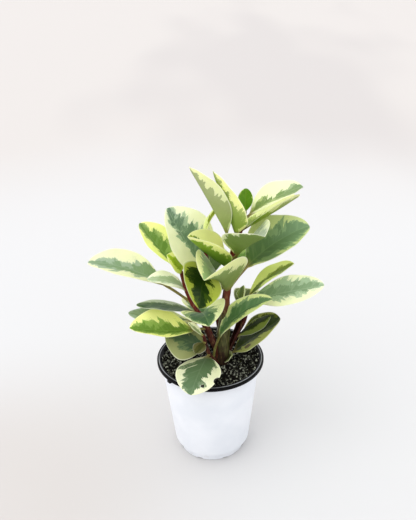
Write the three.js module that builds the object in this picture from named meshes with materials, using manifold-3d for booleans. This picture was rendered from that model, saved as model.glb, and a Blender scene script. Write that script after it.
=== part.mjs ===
// Variegated peperomia in a two-colour nursery pot.
// Millimetres, +Z up. The origin is the middle of the pot's foot, and -Y is the front.
import * as THREE from "three";
import { mergeVertices } from "three/addons/utils/BufferGeometryUtils.js";
import Module from "manifold-3d";

const wasm = await Module();
wasm.setup();

const POT_HEIGHT = 108;
const RIM_RADIUS = 54;
const RIM_DEPTH = 3.7;
const RIM_INSIDE_RADIUS = 50;
const WALL_TOP_RADIUS = 49.5;
const WALL_FOOT_RADIUS = 39;
const FOOT_RADIUS = 34.3;
const FOOT_HEIGHT = 9;
const WALL_THICKNESS = 1.1;
const LINING_THICKNESS = 1;
const FIT_GAP = 0.3;
const FLOOR_THICKNESS = 1.6;
const FLOOR_RECESS = 0.8;
const REST_PAD_RADIUS = 9;
const FOOT_RING_INSIDE = 26;
const DRAIN_RADIUS = 3.2;
const DRAIN_CIRCLE = 18;
const DRAIN_COUNT = 6;
const FOOT_CHANNEL_WIDTH = 6;
const FOOT_CHANNEL_HEIGHT = 1.4;
const FOOT_CHANNEL_COUNT = 8;
const POT_SEGMENTS = 48;

const RIM_TAB_AZIMUTH = 218;
const RIM_TAB_WIDTH = 4.5;
const RIM_TAB_HEIGHT = 5;

const SOIL_LEVEL = 104;
const SOIL_MOUND = 1.6;
const SOIL_RINGS = [0, 8, 16, 24, 32, 40];
const SOIL_SEGMENTS = 36;

const STEM_SIDES = 10;
const STEM_STEPS = 14;

const PETIOLE_HALF_WIDTH = 1.5;
const PETIOLE_HALF_THICKNESS = 1.2;
const PETIOLE_STEPS = 2;
const BLADE_STEPS = 12;
const BLADE_HALF_THICKNESS = 0.65;
const EDGE_HALF_THICKNESS = 0.35;
const BLADE_CUP = 10;
const WIDEST_SHIFT = 1.15;
const EDGE_WAVE = 0.6;
const EDGE_WAVE_COUNT = 2.4;

// Points in the middle of the trunk and of each branch, from its lower end to its tip, and its radii,
// which are spread evenly along it. The branches leave the trunk near the soil.
const STEMS = {
  main: {
    points: [
      [12, -6, 80], [12.5, -6, 116], [14, -4, 145], [17, -2, 175],
      [20, 0, 201], [23, 3, 221], [29, 5, 240], [35, 6, 260],
    ],
    radii: [6, 6.6, 6.3, 3.2, 2.9, 2.6, 2.2, 1.9],
  },
  branch: {
    points: [[12, -5, 124], [9, 2, 147], [5, 8, 171], [1, 12, 195], [-3, 16, 226]],
    radii: [2.3, 1.5],
  },
  left: {
    points: [
      [9, -7, 106], [5, -8, 127], [-2, -5, 145], [-11, -1, 161],
      [-18, 2, 173], [-23, 4, 189], [-26, 5, 203],
    ],
    radii: [2.8, 1.6],
  },
  right: {
    points: [[14, -3, 98], [21, 4, 116], [28, 7, 130], [36, 10, 146], [38, 14, 168]],
    radii: [2.3, 1.6],
  },
  mid: {
    points: [[13, -1, 98], [19, 10, 114], [26, 12, 126], [30, 12, 142], [32, 12, 161]],
    radii: [2.2, 1.5],
  },
  low: {
    points: [[8.5, -9.5, 104], [-1, -17, 122], [-4, -18, 135], [-6, -19, 145]],
    radii: [1.9, 1.3],
  },
};

// Each leaf: its stem, the share of the stem's length below it, its direction round the plant and
// above the level in degrees, the degrees that it bends down to its tip, the lengths of its petiole
// and its blade, the blade's width, its roll about its axis and the rise of each half from the midrib.
const LEAVES = {
  leaf_crown_left: ["main", 0.77, -160, 65, 2, 16, 79, 45, 11, 22],
  leaf_crown_mid: ["main", 0.84, -138, 66, -5, 4, 74, 48, -17, 14],
  leaf_crown_bud: ["main", 1, 80, 76, 12, 3, 22, 15, 3, 15],
  leaf_crown_right_back: ["main", 0.97, 17, 35, 25, 6, 58, 38, 4, 19],
  leaf_crown_right: ["main", 0.89, 27, 15, -7, 3, 66, 52, -25, 13],
  leaf_crown_front: ["main", 0.67, -58, 48, 13, 15, 54, 57, 1, 30],
  leaf_right_large: ["main", 0.47, 12, 59, 44, 30, 73, 47, 23, 20],
  leaf_front_boat: ["main", 0.47, -113, 58, 41, 2, 69, 64, 0, 43],
  leaf_front_yellow: ["main", 0.61, -163, 40, -11, 2, 56, 45, -6, 41],
  leaf_left_large: ["branch", 0.76, 164, 51, -15, 3, 74, 61, -27, 24],
  leaf_slim_back: ["branch", 0.99, 45, 97, 83, 5, 39, 8, -1, 32],
  leaf_left_upper: ["left", 1, 147, 33, -17, 7, 55, 40, -1, 22],
  leaf_left_small: ["left", 0.83, -152, 82, 33, 14, 28, 18, -62, 29],
  leaf_left_far: ["left", 0.61, 164, 39, 43, 33, 82, 39, -15, 21],
  leaf_left_pale: ["left", 0.76, -171, 51, 50, 2, 41, 21, -14, 14],
  leaf_front_hanging: ["branch", 0.85, -98, 10, 43, 8, 57, 38, -39, 14],
  leaf_left_grey: ["left", 0.49, -172, 25, 20, 3, 59, 23, 4, 0],
  leaf_left_grey_low: ["left", 0.37, 174, 12, 8, 13, 64, 24, -10, -6],
  leaf_left_low: ["left", 0.33, -164, 2, -20, 13, 66, 44, -18, 31],
  leaf_front_low: ["left", 0.46, -77, 52, 71, 11, 31, 50, 10, 26],
  leaf_right_low: ["low", 0.18, 1, 86, 73, 24, 70, 27, 16, 26],
  leaf_right_far: ["right", 0.95, -13, 21, 4, 2, 77, 34, 31, 8],
  leaf_right_small: ["right", 0.98, 14, 53, 39, 3, 56, 23, 3, 16],
  leaf_right_shade: ["right", 0.12, -4, 40, -1, 7, 62, 55, 1, 8],
  leaf_right_shade_small: ["right", 0.42, -7, 38, 2, 3, 41, 16, 21, -14],
  leaf_left_bottom: ["low", 0.5, 176, 26, 2, 2, 42, 51, -20, 0],
  leaf_left_shoot: ["low", 0.75, -121, 3, 20, 2, 17, 13, -16, 3],
  leaf_over_rim: ["low", 0.34, -109, 8, 35, 4, 52, 44, 3, 0],
  leaf_right_shoot: ["main", 0.1, -32, 35, -17, 3, 13, 16, 23, 12],
  leaf_left_sliver: ["low", 0.96, 152, 39, 7, 2, 19, 8, -16, 27],
  leaf_mid_sliver: ["mid", 1, 68, 68, 7, 2, 17, 8, -3, 30],
  leaf_back_upper_right: ["main", 0.55, 60, 20, 25, 8, 50, 32, 0, 18],
  leaf_back_upper_left: ["branch", 0.67, 100, 22, 25, 6, 50, 32, 0, 18],
  leaf_back_right: ["mid", 0.79, 56, 11, 20, 6, 48, 32, 0, 18],
  leaf_back_left: ["left", 0.39, 106, 11, 21, 7, 45, 30, -1, 18],
  leaf_back_mid: ["branch", 0.48, 85, 12, 20, 8, 46, 32, 0, 15],
  leaf_back_low: ["main", 0.26, 82, 6, 20, 8, 46, 32, 1, 15],
};

// The torn spots of the leaf over the rim: a middle and a radius each.
const TORN_LEAF = "leaf_over_rim";
const TEARS = [
  { middle: [-7.7, -62, 117.7], radius: 2 },
  { middle: [6.3, -60.5, 122], radius: 3.2 },
];

// Corners of a leaf's cross-section: the place across from -1 to 1, and the face, -1 under or 1 over.
const LEAF_CORNERS = [
  [0, -1], [1, -1], [1, 1], [0, 1], [-1, 1], [-1, -1],
];

const COLOURS = {
  wall: "#e4e8ef",
  lining: "#17181a",
  soil: "#1d1713",
  stem: "#7a3b2c",
  leaf: "#6f9a72",
};

const radians = THREE.MathUtils.degToRad;
const clamp = THREE.MathUtils.clamp;
const mix = THREE.MathUtils.lerp;

// A closed geometry as a solid that can be joined and cut.
function solidOf(geometry) {
  const bare = geometry.clone();
  bare.deleteAttribute("normal");
  bare.deleteAttribute("uv");
  const merged = mergeVertices(bare, 1e-4);
  const corners = merged.index.array;
  const kept = [];
  for (let i = 0; i < corners.length; i += 3) {
    const [a, b, c] = corners.slice(i, i + 3);
    if (a !== b && b !== c && c !== a) kept.push(a, b, c);
  }
  return new wasm.Manifold(
    new wasm.Mesh({
      numProp: 3,
      vertProperties: merged.getAttribute("position").array,
      triVerts: new Uint32Array(kept),
    }),
  );
}

function meshOf(name, solid, colour, roughness) {
  const { vertProperties, triVerts } = solid.getMesh();
  const geometry = new THREE.BufferGeometry();
  geometry.setAttribute("position", new THREE.BufferAttribute(vertProperties, 3));
  geometry.setIndex(new THREE.BufferAttribute(triVerts, 1));
  geometry.computeVertexNormals();
  const material = new THREE.MeshStandardMaterial({ color: colour, roughness, metalness: 0 });
  const mesh = new THREE.Mesh(geometry, material);
  mesh.name = name;
  return mesh;
}

// A profile of [radius, height] pairs turned about the Z axis.
function turned(profile, segments) {
  const points = profile.map(([radius, height]) => new THREE.Vector2(radius, height));
  return new THREE.LatheGeometry(points, segments).rotateX(Math.PI / 2);
}

// An upright round bar whose vertices are moved to place(along, corner, reach): along runs from 0 to
// 1 up the bar, corner is the number of its side, and reach is 0 in the middle of an end, or else 1.
function bentBar(sides, steps, place) {
  const bar = new THREE.CylinderGeometry(1, 1, 1, sides, steps);
  const spots = bar.getAttribute("position");
  const spot = new THREE.Vector3();
  for (let i = 0; i < spots.count; i += 1) {
    spot.fromBufferAttribute(spots, i);
    const reach = Math.hypot(spot.x, spot.z) > 0.5 ? 1 : 0;
    const turn = Math.atan2(spot.x, spot.z) / (2 * Math.PI);
    const corner = (Math.round(turn * sides) + sides) % sides;
    const placed = place(spot.y + 0.5, corner, reach);
    spots.setXYZ(i, placed.x, placed.y, placed.z);
  }
  return bar;
}

function ringOf(count, make) {
  return Array.from({ length: count }, (_, i) => make((i * 2 * Math.PI) / count));
}

function drains(bottom, top) {
  return ringOf(DRAIN_COUNT, (turn) => {
    const drain = new THREE.CylinderGeometry(DRAIN_RADIUS, DRAIN_RADIUS, top - bottom, 16);
    drain.rotateX(Math.PI / 2);
    drain.translate(DRAIN_CIRCLE * Math.cos(turn), DRAIN_CIRCLE * Math.sin(turn), (top + bottom) / 2);
    return solidOf(drain);
  });
}

function footChannels() {
  const length = FOOT_RADIUS + 4 - FOOT_RING_INSIDE;
  return ringOf(FOOT_CHANNEL_COUNT, (turn) => {
    const channel = new THREE.BoxGeometry(length, FOOT_CHANNEL_WIDTH, 2 * FOOT_CHANNEL_HEIGHT);
    channel.translate(FOOT_RING_INSIDE - 1 + length / 2, 0, 0);
    channel.rotateZ(turn + Math.PI / FOOT_CHANNEL_COUNT);
    return solidOf(channel);
  });
}

function without(solid, cutters) {
  return cutters.reduce((left, cutter) => left.subtract(cutter), solid);
}

// The white outer shell: a floor on a raised foot, and a wall that widens upward.
function potWall() {
  const topHeight = POT_HEIGHT - RIM_DEPTH - FIT_GAP;
  const shell = turned(
    [
      [0, 0],
      [REST_PAD_RADIUS, 0],
      [REST_PAD_RADIUS + 1, FLOOR_RECESS],
      [FOOT_RING_INSIDE, FLOOR_RECESS],
      [FOOT_RING_INSIDE + 1, 0],
      [FOOT_RADIUS - 0.6, 0],
      [FOOT_RADIUS, 0.6],
      [FOOT_RADIUS + 0.3, FOOT_HEIGHT],
      [WALL_FOOT_RADIUS - 1, FOOT_HEIGHT + 0.4],
      [WALL_FOOT_RADIUS, FOOT_HEIGHT + 1.6],
      [WALL_TOP_RADIUS, topHeight],
      [WALL_TOP_RADIUS - WALL_THICKNESS, topHeight],
      [WALL_FOOT_RADIUS - WALL_THICKNESS, FOOT_HEIGHT + 2.2],
      [FOOT_RADIUS - WALL_THICKNESS, FOOT_HEIGHT + 1.4],
      [FOOT_RADIUS - WALL_THICKNESS - 0.2, FLOOR_THICKNESS],
      [0, FLOOR_THICKNESS],
    ],
    POT_SEGMENTS,
  );
  return without(solidOf(shell), [...footChannels(), ...drains(-1, FLOOR_THICKNESS + 1)]);
}

// Radius of the lining's inner face at a height above its floor.
function liningRadius(height) {
  const low = FOOT_HEIGHT + 2.9;
  const lowRadius = WALL_FOOT_RADIUS - WALL_THICKNESS - FIT_GAP - LINING_THICKNESS;
  const high = POT_HEIGHT - 4.5;
  const highRadius = WALL_TOP_RADIUS - WALL_THICKNESS - FIT_GAP - LINING_THICKNESS;
  return mix(lowRadius, highRadius, (height - low) / (high - low));
}

// The black inner layer, with the rim that is rolled out over the wall's edge.
function potLining() {
  const bottom = FLOOR_THICKNESS + FIT_GAP;
  const shoulder = FOOT_RADIUS - WALL_THICKNESS - FIT_GAP;
  const outside = (height) => liningRadius(height) + LINING_THICKNESS;
  const underRim = POT_HEIGHT - RIM_DEPTH;
  const lining = turned(
    [
      [0, bottom],
      [shoulder - 0.3, bottom],
      [shoulder - 0.1, FOOT_HEIGHT + 1.7],
      [outside(FOOT_HEIGHT + 2.5), FOOT_HEIGHT + 2.5],
      [outside(underRim), underRim],
      [RIM_RADIUS - 0.3, underRim],
      [RIM_RADIUS, underRim + 0.4],
      [RIM_RADIUS, POT_HEIGHT - 0.9],
      [RIM_RADIUS - 0.8, POT_HEIGHT],
      [RIM_RADIUS - 2.4, POT_HEIGHT - 0.5],
      [RIM_INSIDE_RADIUS + 0.9, POT_HEIGHT - 0.1],
      [RIM_INSIDE_RADIUS, POT_HEIGHT - 0.9],
      [liningRadius(POT_HEIGHT - 4.5) + 0.4, POT_HEIGHT - 3],
      [liningRadius(POT_HEIGHT - 6), POT_HEIGHT - 6],
      [liningRadius(FOOT_HEIGHT + 3.3), FOOT_HEIGHT + 3.3],
      [shoulder - LINING_THICKNESS, FOOT_HEIGHT + 2.4],
      [shoulder - LINING_THICKNESS - 0.3, bottom + LINING_THICKNESS],
      [0, bottom + LINING_THICKNESS],
    ],
    POT_SEGMENTS,
  );
  const drained = without(solidOf(lining), drains(bottom - 1, bottom + LINING_THICKNESS + 1));
  return drained.add(rimTab(underRim));
}

// The small tab that hangs below the rim at the front left.
function rimTab(underRim) {
  const inside = WALL_TOP_RADIUS + 0.4;
  const depth = RIM_RADIUS - 1.2 - inside;
  const tab = new THREE.BoxGeometry(depth, RIM_TAB_WIDTH, RIM_TAB_HEIGHT);
  tab.translate(inside + depth / 2, 0, underRim + 0.6 - RIM_TAB_HEIGHT / 2);
  tab.rotateZ(radians(RIM_TAB_AZIMUTH));
  return solidOf(tab);
}

function soilLump(x, y) {
  const mound = SOIL_MOUND * (1 - Math.hypot(x, y) / 47);
  const coarse = 0.7 * Math.sin(0.23 * x + 1.1) * Math.cos(0.19 * y - 0.4);
  return mound + coarse + 0.5 * Math.sin(0.51 * x - 0.33 * y);
}

// The potting mix, which fills the lining, with a plain hole for the trunk.
function soil(hole) {
  const floor = FLOOR_THICKNESS + LINING_THICKNESS + 2 * FIT_GAP;
  const foot = FOOT_RADIUS - WALL_THICKNESS - LINING_THICKNESS - 2 * FIT_GAP;
  const rim = liningRadius(SOIL_LEVEL) - FIT_GAP;
  const top = [...SOIL_RINGS, rim - 0.6].map((radius) => [radius, SOIL_LEVEL]).reverse();
  const filling = turned(
    [
      [0, floor],
      [foot - 0.4, floor],
      [foot - 0.2, FOOT_HEIGHT + 2.9],
      [liningRadius(FOOT_HEIGHT + 3.9) - FIT_GAP, FOOT_HEIGHT + 3.9],
      [liningRadius(SOIL_LEVEL - 3) - FIT_GAP, SOIL_LEVEL - 3],
      ...top,
    ],
    SOIL_SEGMENTS,
  );
  const spots = filling.getAttribute("position");
  for (let i = 0; i < spots.count; i += 1) {
    const height = spots.getZ(i);
    if (height > SOIL_LEVEL - 1) spots.setZ(i, height + soilLump(spots.getX(i), spots.getY(i)));
  }
  return solidOf(filling).subtract(hole);
}

function stemCurve(stem) {
  const points = STEMS[stem].points.map((point) => new THREE.Vector3(...point));
  return new THREE.CatmullRomCurve3(points, false, "catmullrom", 0.5);
}

// A value between those of a list, whose entries are spread evenly over shares from 0 to 1.
function valueAt(list, share) {
  const place = share * (list.length - 1);
  const first = Math.min(Math.floor(place), list.length - 2);
  return mix(list[first], list[first + 1], place - first);
}

// A tapered stem with a blunt tip, made wider by a margin where it cuts a hole.
function stemSolid(stem, margin) {
  const curve = stemCurve(stem);
  const place = (along, corner, reach) => {
    const middle = curve.getPoint(along);
    const heading = curve.getTangent(along);
    const side = new THREE.Vector3(1, 0, 0).cross(heading).normalize();
    const front = side.clone().cross(heading);
    const turn = (corner * 2 * Math.PI) / STEM_SIDES;
    const blunt = along > 0.999 ? 0.75 : 1;
    const radius = reach * (valueAt(STEMS[stem].radii, along) * blunt + margin);
    const lift = along > 0.999 ? margin : 0;
    return middle
      .addScaledVector(front, radius * Math.cos(turn))
      .addScaledVector(side, radius * Math.sin(turn))
      .addScaledVector(heading, lift);
  };
  return solidOf(bentBar(STEM_SIDES, STEM_STEPS, place));
}

// The trunk and its branches, grown together.
function allStems(margin) {
  return Object.keys(STEMS)
    .map((stem) => stemSolid(stem, margin))
    .reduce((grown, next) => grown.add(next));
}

// Half the width of the blade at a share of its length.
function halfWidth(share, width) {
  const round = Math.max(Math.sin(Math.PI * share ** WIDEST_SHIFT), 0);
  const half = (width / 2) * round ** (0.88 - 0.33 * share);
  return Math.max(half, share < 0.5 ? PETIOLE_HALF_WIDTH : 0.7);
}

// Distances along a leaf at which its cross-sections lie, close together at the tip.
function leafStations(petiole, length) {
  const stations = [];
  for (let i = 0; i < PETIOLE_STEPS; i += 1) stations.push((petiole * i) / PETIOLE_STEPS);
  for (let i = 0; i <= BLADE_STEPS; i += 1) {
    const share = 1 - (1 - i / BLADE_STEPS) ** 1.6;
    stations.push(petiole + length * share);
  }
  return stations;
}

// The leaf's middle line in the upright plane through its stem, followed in small steps.
function leafMiddle(distance, total, rise, droop) {
  const steps = 24;
  const middle = new THREE.Vector3();
  const step = distance / steps;
  for (let i = 0; i < steps; i += 1) {
    const angle = radians(rise - (droop * (i + 0.5) * step) / total);
    middle.x += step * Math.cos(angle);
    middle.z += step * Math.sin(angle);
  }
  return middle;
}

// One vertex of a leaf's surface, before it is turned to its direction round the plant.
function leafSpot(distance, across, face, leaf) {
  const [, , azimuth, rise, droop, petiole, length, width, roll, fold] = leaf;
  const total = petiole + length;
  const angle = radians(rise - (droop * distance) / total);
  const tilt = radians(roll * clamp(distance / petiole, 0, 1));
  const level = new THREE.Vector3(0, 1, 0);
  const upright = new THREE.Vector3(-Math.sin(angle), 0, Math.cos(angle));
  const side = level.clone().multiplyScalar(Math.cos(tilt)).addScaledVector(upright, Math.sin(tilt));
  const up = upright.clone().multiplyScalar(Math.cos(tilt)).addScaledVector(level, -Math.sin(tilt));
  const share = clamp((distance - petiole) / length, 0, 1);
  const opened = clamp((distance - petiole) / (0.15 * length) + 0.2, 0, 1);
  const reach = halfWidth(share, width) * Math.abs(across);
  const lift = radians((fold + BLADE_CUP * Math.abs(across) * 0.5) * opened);
  const middleHalf = mix(PETIOLE_HALF_THICKNESS, BLADE_HALF_THICKNESS, opened);
  const half = mix(middleHalf, EDGE_HALF_THICKNESS * (2 - opened), across * across);
  const wave = Math.sin(2 * Math.PI * EDGE_WAVE_COUNT * share + radians(azimuth));
  const waved = EDGE_WAVE * across * across * opened * share * wave;
  return leafMiddle(distance, total, rise, droop)
    .addScaledVector(side, Math.sign(across) * reach * Math.cos(lift))
    .addScaledVector(up, reach * Math.sin(lift) + face * half + waved);
}

// A leaf from inside its stem, through the petiole, to the blade's tip, cut clear of the stems.
function leafSolid(leaf, stemsHole) {
  const [stem, at, azimuth, , , petiole, length] = leaf;
  const root = stemCurve(stem).getPoint(at);
  const stations = leafStations(petiole, length);
  const steps = stations.length - 1;
  const place = (along, corner, reach) => {
    const [across, face] = LEAF_CORNERS[corner];
    const distance = stations[Math.round(along * steps)];
    const spot = leafSpot(distance, across * reach, face * reach, leaf);
    return spot.applyAxisAngle(new THREE.Vector3(0, 0, 1), radians(azimuth)).add(root);
  };
  const whole = solidOf(bentBar(LEAF_CORNERS.length, steps, place));
  const pieces = whole.subtract(stemsHole).decompose();
  return pieces.reduce((most, piece) => (piece.volume() > most.volume() ? piece : most));
}

function tearSolids() {
  return TEARS.map(({ middle, radius }) => {
    const tear = new THREE.SphereGeometry(radius, 10, 8);
    return solidOf(tear.translate(...middle));
  });
}

const stemsHole = allStems(FIT_GAP);

const plant = new THREE.Group();
plant.name = "potted_peperomia";
plant.add(meshOf("pot_wall", potWall(), COLOURS.wall, 0.55));
plant.add(meshOf("pot_lining", potLining(), COLOURS.lining, 0.45));
plant.add(meshOf("soil", soil(stemsHole), COLOURS.soil, 0.95));
plant.add(meshOf("stems", allStems(0), COLOURS.stem, 0.5));
for (const [name, leaf] of Object.entries(LEAVES)) {
  const whole = leafSolid(leaf, stemsHole);
  const solid = name === TORN_LEAF ? without(whole, tearSolids()) : whole;
  plant.add(meshOf(name, solid, COLOURS.leaf, 0.35));
}

export default plant;
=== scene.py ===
import math
import random
import bmesh
import bpy
from mathutils import Euler, Matrix, Vector, noise


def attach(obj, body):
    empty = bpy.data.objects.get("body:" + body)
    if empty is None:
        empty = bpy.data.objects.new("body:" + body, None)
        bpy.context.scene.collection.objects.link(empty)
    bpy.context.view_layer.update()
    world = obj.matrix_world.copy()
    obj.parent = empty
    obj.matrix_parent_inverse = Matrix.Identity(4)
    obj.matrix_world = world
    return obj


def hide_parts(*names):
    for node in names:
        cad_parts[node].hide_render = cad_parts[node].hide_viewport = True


# A variegated peperomia in a two-colour nursery pot. Lengths below are in millimetres unless they say
# otherwise, and are turned into metres where a vertex is placed.
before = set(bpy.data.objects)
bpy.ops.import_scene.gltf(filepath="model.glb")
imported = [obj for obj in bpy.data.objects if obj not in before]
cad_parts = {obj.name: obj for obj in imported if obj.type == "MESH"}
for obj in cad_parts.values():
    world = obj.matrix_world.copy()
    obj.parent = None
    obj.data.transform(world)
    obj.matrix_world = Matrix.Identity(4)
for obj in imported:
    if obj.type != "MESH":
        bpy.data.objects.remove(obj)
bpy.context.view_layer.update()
scene = bpy.context.scene
mm = 0.001


def linearColour(hexText):
    channels = [int(hexText[i:i + 2], 16) / 255 for i in (1, 3, 5)]
    return [c / 12.92 if c <= 0.04045 else ((c + 0.055) / 1.055) ** 2.4 for c in channels] + [1]


def mixed(a, b, share):
    return a + (b - a) * share


def clamped(value, low=0.0, high=1.0):
    return max(low, min(high, value))


# Camera, light and floor
cameraPlan = {
    "place": (0.0, -0.5825, 0.5257),  # metres, from the pot's ellipses in the photograph
    "downward": 27.86,
    "roll": -1.40,
    "focal": 48.46,  # for a frame 36 mm high
}
lightPlan = {
    "sky": "#f9f9fb",
    "frontSky": 1.28,  # strength of the studio's light from the camera's side, from above and from behind
    "topSky": 1.38,
    "backSky": 1.85,
    "keyFrom": (-0.55, -0.5, 1.1),  # direction of the soft main light, over the plant's left shoulder
    "keyStrength": 1.25,
    "keySoftness": 60.0,
    "floor": "#c4c4c4",
    # a painted warm shade on the paper to the left of the pot, with its spot and reach below
    "floorWarmShade": "#bbb7b4",
    "warmShadeSpot": (-0.24, -0.12, 0),  # metres
    "warmShadeReach": (0.08, 0.36),
    "floorFar": "#c0bcb9",
    "floorShade": "#b9b5b3",  # painted soft shadows on the paper far behind the pot
    "farReach": (0.5, 1.2),
    "floorReach": 14,
    "shadeSpot": (0.22, 0.62, 0),  # the painted soft shadow behind the plant, its y squashed as below
    "shadeSquash": 0.35,
    "shadeReach": (0.16, 0.56),
}


def setCamera():
    lens = bpy.data.cameras.new("photoCamera")
    lens.sensor_fit = "VERTICAL"
    lens.sensor_height = 36
    lens.lens = cameraPlan["focal"]
    lens.clip_start = 0.01
    body = bpy.data.objects.new("photoCamera", lens)
    tilt = Matrix.Rotation(math.radians(90 - cameraPlan["downward"]), 4, "X")
    roll = Matrix.Rotation(math.radians(cameraPlan["roll"]), 4, "Z")
    body.matrix_world = Matrix.Translation(cameraPlan["place"]) @ tilt @ roll
    scene.collection.objects.link(body)
    scene.camera = body


# Nodes are added to the tree in hand, which a new material or the world sets.
inHand = {}


# Each input of a node is another node's output, a value or a colour as hex text.
def addNode(kind, settings=None, inputs=None):
    tree = inHand["tree"]
    node = tree.nodes.new("ShaderNode" + kind)
    for name, value in (settings or {}).items():
        setattr(node, name, value)
    for name, value in (inputs or {}).items():
        if isinstance(value, bpy.types.NodeSocket):
            tree.links.new(value, node.inputs[name])
        else:
            node.inputs[name].default_value = linearColour(value) if isinstance(value, str) else value
    return node


def newMaterial(name):
    material = bpy.data.materials.new(name)
    material.use_nodes = True
    material.node_tree.nodes.clear()
    inHand["tree"] = material.node_tree
    return material


def calc(operation, *values, clamp=False):
    settings = {"operation": operation, "use_clamp": clamp}
    return addNode("Math", settings, dict(enumerate(values))).outputs[0]


def plus(a, b):
    return calc("ADD", a, b)


def minus(a, b):
    return calc("SUBTRACT", a, b)


def times(a, b):
    return calc("MULTIPLY", a, b)


def blended(share, low, high, way="MIX"):
    settings = {"data_type": "RGBA", "blend_type": way}
    return addNode("Mix", settings, {0: share, 6: low, 7: high}).outputs[2]


def ramped(value, low, high, start=0.0, end=1.0):
    inputs = {0: value, 1: low, 2: high, 3: start, 4: end}
    return addNode("MapRange", {"interpolation_type": "SMOOTHSTEP"}, inputs).outputs[0]


def objectPlace():
    return addNode("TexCoord").outputs["Object"]


def partsOf(place):
    return addNode("SeparateXYZ", None, {0: place}).outputs


def joined(x, y, z=0.0):
    return addNode("CombineXYZ", None, {0: x, 1: y, 2: z}).outputs[0]


def noiseOf(place, scale, detail, roughness=0.5):
    inputs = {"Vector": place, "Scale": scale, "Detail": detail, "Roughness": roughness}
    return addNode("TexNoise", None, inputs).outputs[0]


def distanceTo(place, spot):
    settings = {"operation": "DISTANCE"}
    return addNode("VectorMath", settings, {0: place, 1: spot}).outputs["Value"]


def bumped(strength, depth, height):
    inputs = {"Strength": strength, "Distance": depth, "Height": height}
    return addNode("Bump", None, inputs).outputs[0]


def principled(inputs):
    return addNode("BsdfPrincipled", None, inputs).outputs[0]


def finished(material, surface):
    addNode("OutputMaterial", None, {"Surface": surface})
    return material


def setLights():
    world = bpy.data.worlds.new("paleStudio")
    scene.world = world
    world.use_nodes = True
    inHand["tree"] = tree = world.node_tree
    heading = addNode("TexCoord").outputs["Generated"]
    _, depth, height = partsOf(heading)
    strength = ramped(depth, -0.9, 0.9, lightPlan["frontSky"], lightPlan["backSky"])
    above = ramped(height, 0.3, 0.9)
    strength = plus(times(strength, minus(1, above)), times(above, lightPlan["topSky"]))
    sky = tree.nodes["Background"]
    sky.inputs["Color"].default_value = linearColour(lightPlan["sky"])
    tree.links.new(strength, sky.inputs["Strength"])
    key = bpy.data.lights.new("softKey", "SUN")
    key.energy = lightPlan["keyStrength"]
    key.angle = math.radians(lightPlan["keySoftness"])
    keyBody = bpy.data.objects.new("softKey", key)
    keyBody.rotation_euler = (-Vector(lightPlan["keyFrom"])).to_track_quat("-Z", "Y").to_euler()
    scene.collection.objects.link(keyBody)


# Fine, even, matte paper-like floor, with a painted warm shade to the left of the pot and painted soft
# shadows far behind.
def paperFloor():
    material = newMaterial("paleStudioPaper")
    place = objectPlace()
    cloud = noiseOf(place, 2.4, 1)
    bent = times(minus(cloud, 0.5), 0.2)

    def distanceFrom(spot):
        return plus(distanceTo(place, spot), bent)

    # A painted warm shade on the paper to the left of the pot.
    warmShade = ramped(distanceFrom(lightPlan["warmShadeSpot"]), *lightPlan["warmShadeReach"], 1, 0)
    colour = blended(warmShade, lightPlan["floor"], lightPlan["floorWarmShade"])
    # The far paper is seen at a low angle, so its painted soft shadow is long to look round.
    squashed = addNode("VectorMath", {"operation": "MULTIPLY"},
                       {0: place, 1: (1.0, lightPlan["shadeSquash"], 1.0)}).outputs["Vector"]
    patches = noiseOf(squashed, 3.2, 1)
    away = plus(distanceTo(squashed, lightPlan["shadeSpot"]), minus(patches, 0.5))
    paintedShadow = ramped(away, *lightPlan["shadeReach"], 1, 0)
    shaded = blended(paintedShadow, lightPlan["floorFar"], lightPlan["floorShade"])
    colour = blended(ramped(distanceFrom((0, 0, 0)), *lightPlan["farReach"]), colour, shaded)
    paper = principled({"Base Color": colour, "Roughness": 0.9, "Specular IOR Level": 0.1})
    return finished(material, paper)


def setFloor():
    bm = bmesh.new()
    bmesh.ops.create_grid(bm, x_segments=2, y_segments=2, size=lightPlan["floorReach"])
    mesh = bpy.data.meshes.new("studioFloor")
    bm.to_mesh(mesh)
    bm.free()
    floor = bpy.data.objects.new("studioFloor", mesh)
    mesh.materials.append(paperFloor())
    scene.collection.objects.link(floor)


setCamera()
setLights()
setFloor()
print("camera, light and floor are set")


# A finished mesh becomes a piece that rides on the plant's one body.
def addPiece(name, bm, material, slotName, *nodes):
    mesh = bpy.data.meshes.new(name)
    bm.to_mesh(mesh)
    bm.free()
    mesh.materials.append(material)
    piece = bpy.data.objects.new(name, mesh)
    scene.collection.objects.link(piece)
    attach(piece, "root")
    if nodes:
        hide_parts(*nodes)
    return piece


def smoothed(bm):
    for face in bm.faces:
        face.smooth = True


# A grid rolled into a closed tube: place(along, turn) gives each vertex, both from 0 to 1.
def rolledTube(bm, alongCount, aroundCount, place, mark=None):
    made = bmesh.ops.create_grid(bm, x_segments=alongCount, y_segments=aroundCount, size=0.5)
    verts = made["verts"]
    for vertex in verts:
        along, turn = clamped(vertex.co.x + 0.5), clamped(vertex.co.y + 0.5)
        vertex.co = place(along, turn)
        if mark:
            mark(vertex, along, turn)
    bmesh.ops.remove_doubles(bm, verts=verts, dist=1e-7)
    verts = [vertex for vertex in verts if vertex.is_valid]
    edges = dict.fromkeys(edge for vertex in verts for edge in vertex.link_edges)
    rims = [edge for edge in edges if edge.is_boundary]
    bmesh.ops.holes_fill(bm, edges=rims, sides=0)
    faces = list(dict.fromkeys(face for vertex in verts for face in vertex.link_faces))
    bmesh.ops.recalc_face_normals(bm, faces=faces)
    return verts


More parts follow.
